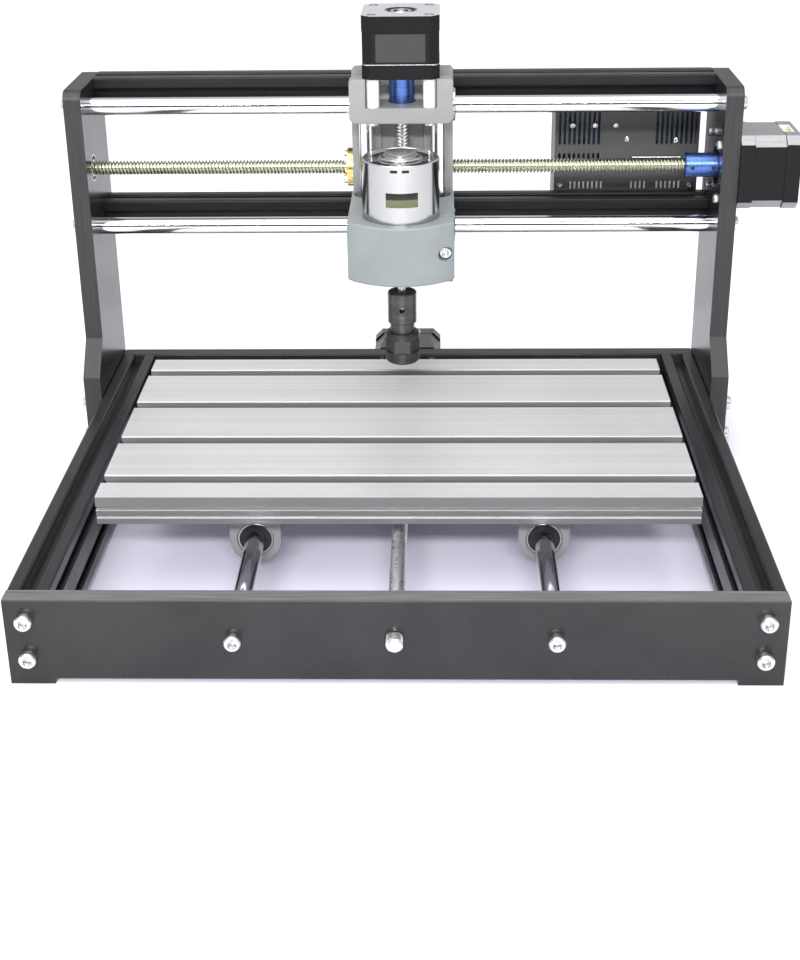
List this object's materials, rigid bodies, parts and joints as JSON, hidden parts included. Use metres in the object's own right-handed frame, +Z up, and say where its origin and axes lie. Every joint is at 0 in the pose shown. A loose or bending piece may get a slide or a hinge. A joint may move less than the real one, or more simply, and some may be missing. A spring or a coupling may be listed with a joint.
{
  "type": "desktop cnc router",
  "caption": "Desktop CNC router: moving T-slot table on rods, fixed dark plate gantry, sliding spindle head with collet chuck, lead screws and stepper motors.",
  "frame": {"origin": "middle of the whole box, on the surface that the feet stand on", "axes": "+X to the right along the gantry, +Y from the front plate to the rear, +Z up"},
  "size_m": [0.419, 0.35, 0.268],
  "materials": {
    "phenolic": "satin phenolic sheet with smoother inner faces",
    "black_anodised": "black anodised extrusion, satin",
    "rod_chrome": "ground and hard-chromed",
    "screw_steel": "rolled trapezoidal thread, slightly warm",
    "bolt_steel": "zinc-plated socket screws",
    "bearing_steel": "ground rings with black seals",
    "motor_black": "black lacquered laminations",
    "motor_cap": "black cast end caps",
    "motor_cap_bright": "die-cast end caps",
    "socket_white": "moulded nylon",
    "coupler_blue": "blue anodised",
    "brass": "turned brass",
    "table_aluminium": "extruded, fine lengthwise lines",
    "grey_plastic": "moulded engineering plastic, fine texture",
    "standoff_white": "nylon",
    "can_steel": "polished plated steel",
    "end_cap": "pressed plated steel",
    "chuck_black": "black oxide",
    "case_black": "moulded black plastic",
    "board_green": "solder-masked board",
    "board_parts": "green terminal blocks and finned sinks",
    "fan_black": "moulded black plastic"
  },
  "bodies": {
    "frame": {"front_plate": "phenolic", "rear_plate": "phenolic", "left_rail": "black_anodised", "right_rail": "black_anodised", "left_y_rod": "rod_chrome", "right_y_rod": "rod_chrome", "left_gantry_plate": "phenolic", "right_gantry_plate": "phenolic", "upper_crossbar": "black_anodised", "lower_crossbar": "black_anodised", "upper_x_rod": "rod_chrome", "lower_x_rod": "rod_chrome", "screw_end_bearings": "bearing_steel", "frame_screws": "bolt_steel", "motor_screws": "bolt_steel", "x_motor_stator": "motor_black", "x_motor_caps": "motor_cap", "y_motor_stator": "motor_black", "y_motor_caps": "motor_cap", "motor_sockets": "socket_white", "controller_case": "case_black", "controller_cover": "case_black", "controller_board": "board_green", "board_components": "board_parts", "fan_frame": "fan_black"},
    "fan": {"fan_rotor": "fan_black"},
    "x_screw": {"x_lead_screw": "screw_steel", "x_coupler": "coupler_blue", "x_motor_shaft": "bearing_steel"},
    "y_screw": {"y_lead_screw": "screw_steel", "y_coupler": "coupler_blue", "y_motor_shaft": "bearing_steel"},
    "bed": {"table": "table_aluminium", "bearing_holders": "grey_plastic", "y_linear_bearings": "bearing_steel", "y_nut_block": "grey_plastic", "y_brass_nut": "brass", "bed_screws": "bolt_steel"},
    "carriage": {"carriage_frame": "grey_plastic", "x_linear_bearings": "bearing_steel", "x_brass_nut": "brass", "z_rods": "rod_chrome", "motor_standoffs": "standoff_white", "carriage_screws": "bolt_steel", "z_motor_stator": "motor_black", "z_motor_caps": "motor_cap_bright", "z_motor_socket": "socket_white"},
    "z_screw": {"z_lead_screw": "screw_steel", "z_coupler": "coupler_blue", "z_motor_shaft": "bearing_steel"},
    "head": {"spindle_holder": "grey_plastic", "z_linear_bearings": "bearing_steel", "z_brass_nut": "brass", "clamp_screw": "bolt_steel", "spindle_can": "can_steel", "spindle_end_cap": "end_cap"},
    "spindle": {"spindle_shaft": "bearing_steel", "chuck_body": "chuck_black", "collet": "bearing_steel", "collet_nut": "chuck_black"}
  },
  "joints": [
    {"name": "table_slide", "type": "slide", "parent": "frame", "child": "bed", "axis": [0, 1, 0], "range_m": [-0.0845, 0.0945]},
    {"name": "carriage_slide", "type": "slide", "parent": "frame", "child": "carriage", "axis": [1, 0, 0], "range_m": [-0.1445, 0.1455]},
    {"name": "head_slide", "type": "slide", "parent": "carriage", "child": "head", "axis": [0, 0, 1], "range_m": [-0.0035, 0.0415]},
    {"name": "y_screw_turn", "type": "hinge", "parent": "frame", "child": "y_screw", "pos_m": [-0.0145, -0.019, 0.0245], "axis": [0, 1, 0], "range_deg": [-8510, 7610]},
    {"name": "x_screw_turn", "type": "hinge", "parent": "frame", "child": "x_screw", "pos_m": [-0.0145, 0.097, 0.176], "axis": [1, 0, 0], "range_deg": [-13100, 13010]},
    {"name": "z_screw_turn", "type": "hinge", "parent": "carriage", "child": "z_screw", "pos_m": [-0.0145, 0.08015, 0.17], "axis": [0, 0, 1], "range_deg": [-3740, 320]},
    {"name": "spindle_turn", "type": "hinge", "parent": "head", "child": "spindle", "pos_m": [-0.0145, 0.034, 0.1], "axis": [0, 0, 1], "continuous": true},
    {"name": "fan_turn", "type": "hinge", "parent": "frame", "child": "fan", "pos_m": [0.0995, 0.159, 0.19], "axis": [0, 1, 0], "continuous": true}
  ],
  "couplings": [
    {"joint": "y_screw_turn", "follows": "table_slide", "rad_per_m": -1570.8},
    {"joint": "x_screw_turn", "follows": "carriage_slide", "rad_per_m": -1570.8},
    {"joint": "z_screw_turn", "follows": "head_slide", "rad_per_m": -1570.8}
  ]
}
